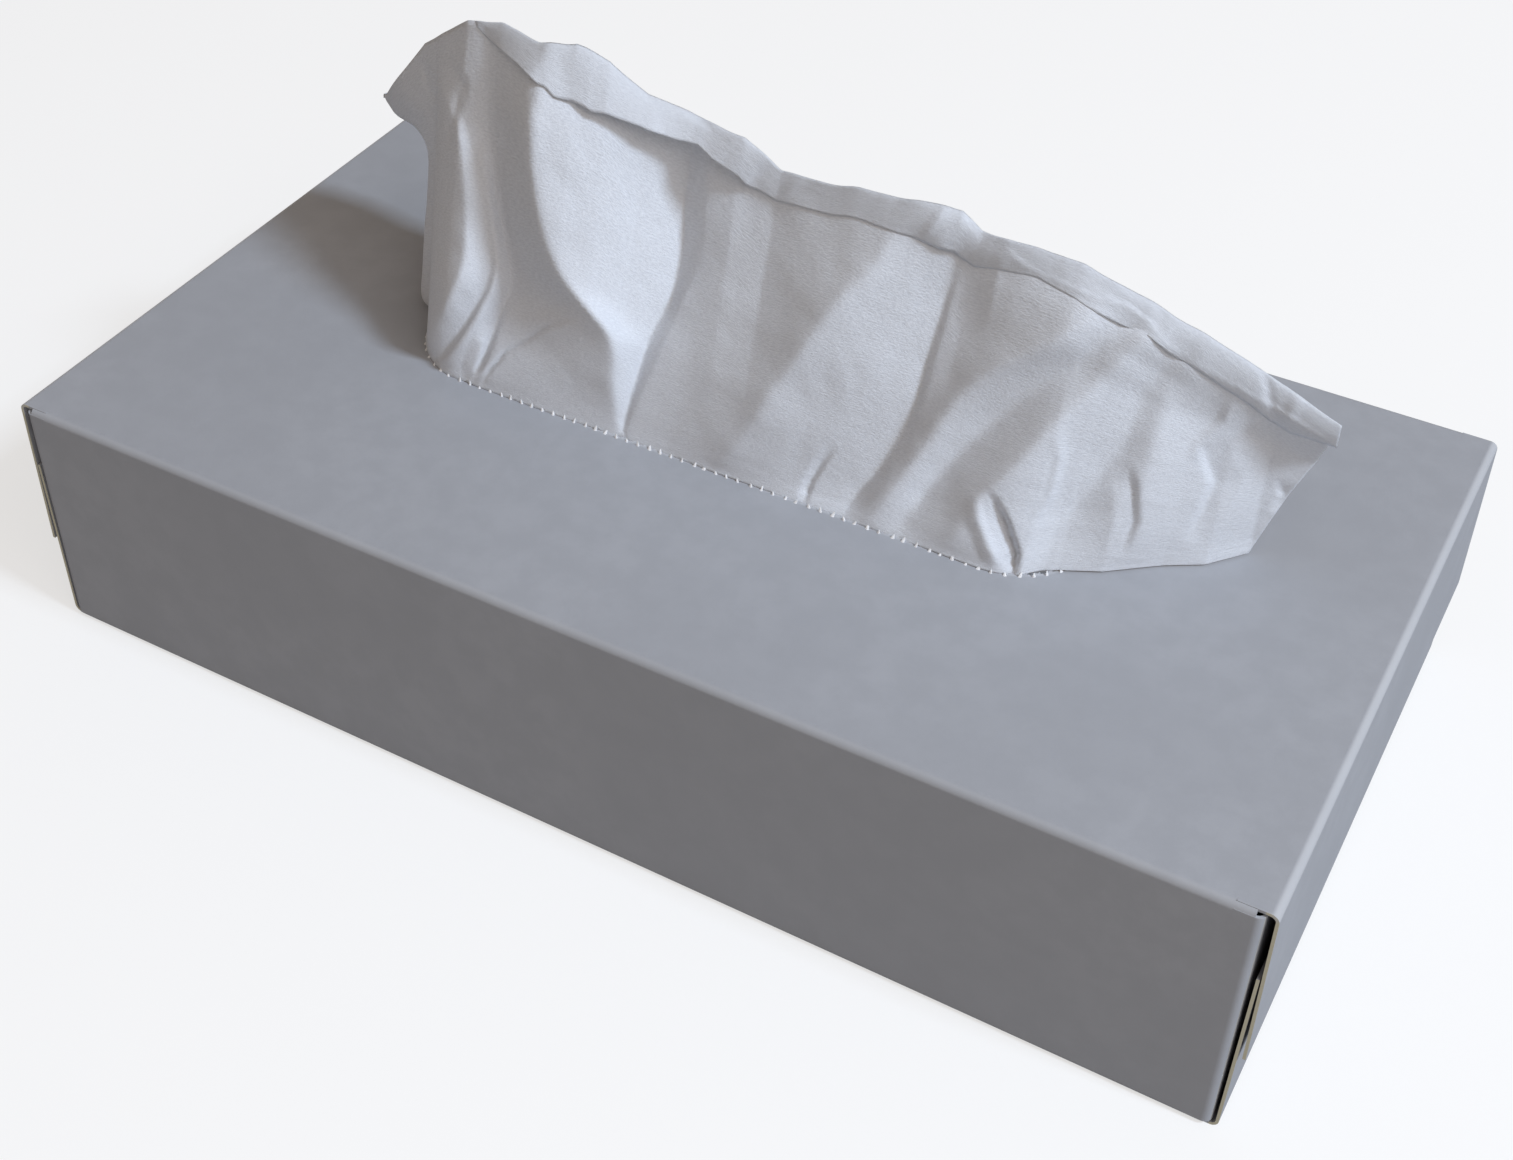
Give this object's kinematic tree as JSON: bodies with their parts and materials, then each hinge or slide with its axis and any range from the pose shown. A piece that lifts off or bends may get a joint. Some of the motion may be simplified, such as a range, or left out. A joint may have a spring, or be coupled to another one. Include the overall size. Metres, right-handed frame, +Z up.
{
  "type": "tissue box",
  "caption": "Flat folded carton with a long rounded slot in its top panel and a folded stack of tissues inside, one tissue drawn up through the slot.",
  "frame": {"origin": "middle of the underside of the carton", "axes": "+X along the box, +Y from the front panel to the back panel, +Z up"},
  "size_m": [0.2312, 0.12, 0.1142],
  "materials": {
    "board": "matte",
    "tissue_pile": "matte",
    "tissue": "matte"
  },
  "bodies": {
    "root": {"carton": "board", "tissue_stack": "tissue_pile", "pulled_tissue": "tissue"}
  },
  "joints": []
}
